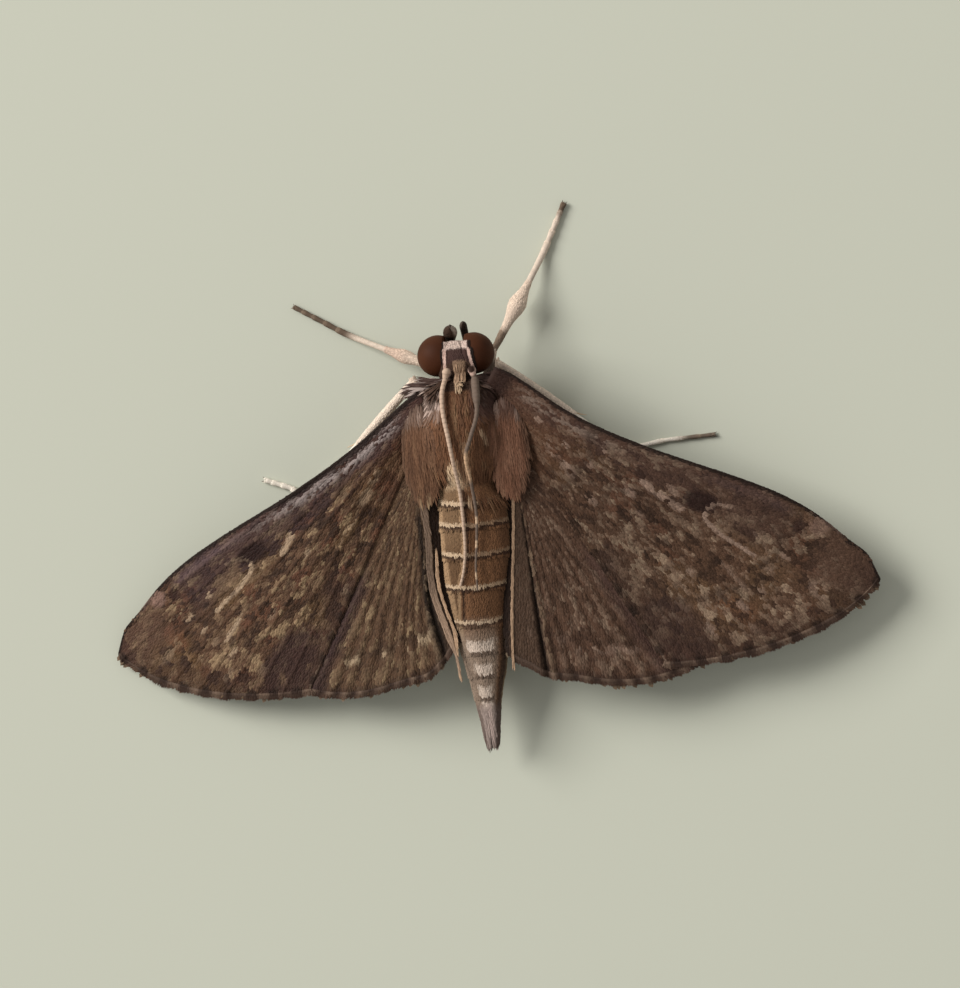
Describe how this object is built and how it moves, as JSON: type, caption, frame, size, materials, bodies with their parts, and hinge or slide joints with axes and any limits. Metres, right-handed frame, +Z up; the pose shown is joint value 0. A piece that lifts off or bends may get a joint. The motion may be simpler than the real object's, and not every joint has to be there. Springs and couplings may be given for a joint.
{
  "type": "moth",
  "caption": "Small brown moth at rest on its six feet, half-open wings swept back in a broad triangle over a banded body, feelers laid back: a life-size still model.",
  "frame": {"origin": "centre of the box's underside, on the floor between the six feet", "axes": "+X to the moth's left, along the spread of the wings; -Y towards the head; +Z up from the floor"},
  "size_m": [0.02, 0.014, 0.0038],
  "materials": {
    "dark_wing_scales": "matt powdery wing scales, purplish dark brown with cream flecks",
    "brown_wing_scales": "matt powdery wing scales, warm brown with pale fringe",
    "brown_body_scales": "soft brown hair scales over a dark hard skin",
    "tan_body_scales": "short flat tan scales with pale bands",
    "lilac_grey_scales": "long narrow lilac-grey hair scales with a silky sheen",
    "cream_leg_scales": "short close cream scales, dark brown towards the toes",
    "feeler_scales": "pale tan scales on fine ringed feelers",
    "dark_mouth_scales": "rough dark brown scales, cream below",
    "pale_tongue": "amber horny skin, coiled",
    "eye_facets": "smooth glossy dark red-brown with a fine six-sided net"
  },
  "bodies": {
    "root": {"abdomen": "tan_body_scales", "anal_tuft": "lilac_grey_scales", "antenna_left": "feeler_scales", "antenna_right": "feeler_scales", "eye_left": "eye_facets", "eye_right": "eye_facets", "foreleg_left_femur": "cream_leg_scales", "foreleg_left_tarsus": "cream_leg_scales", "foreleg_left_tibia": "cream_leg_scales", "foreleg_right_femur": "cream_leg_scales", "foreleg_right_tarsus": "cream_leg_scales", "foreleg_right_tibia": "cream_leg_scales", "forewing_left": "dark_wing_scales", "forewing_right": "dark_wing_scales", "head": "brown_body_scales", "hindleg_left_femur": "cream_leg_scales", "hindleg_left_tarsus": "cream_leg_scales", "hindleg_left_tibia": "cream_leg_scales", "hindleg_right_femur": "cream_leg_scales", "hindleg_right_tarsus": "cream_leg_scales", "hindleg_right_tibia": "cream_leg_scales", "hindwing_left": "brown_wing_scales", "hindwing_right": "brown_wing_scales", "midleg_left_femur": "cream_leg_scales", "midleg_left_tarsus": "cream_leg_scales", "midleg_left_tibia": "cream_leg_scales", "midleg_right_femur": "cream_leg_scales", "midleg_right_tarsus": "cream_leg_scales", "midleg_right_tibia": "cream_leg_scales", "palp_left": "dark_mouth_scales", "palp_right": "dark_mouth_scales", "proboscis": "pale_tongue", "tegula_left": "brown_body_scales", "tegula_right": "brown_body_scales", "thorax": "brown_body_scales"}
  },
  "joints": []
}
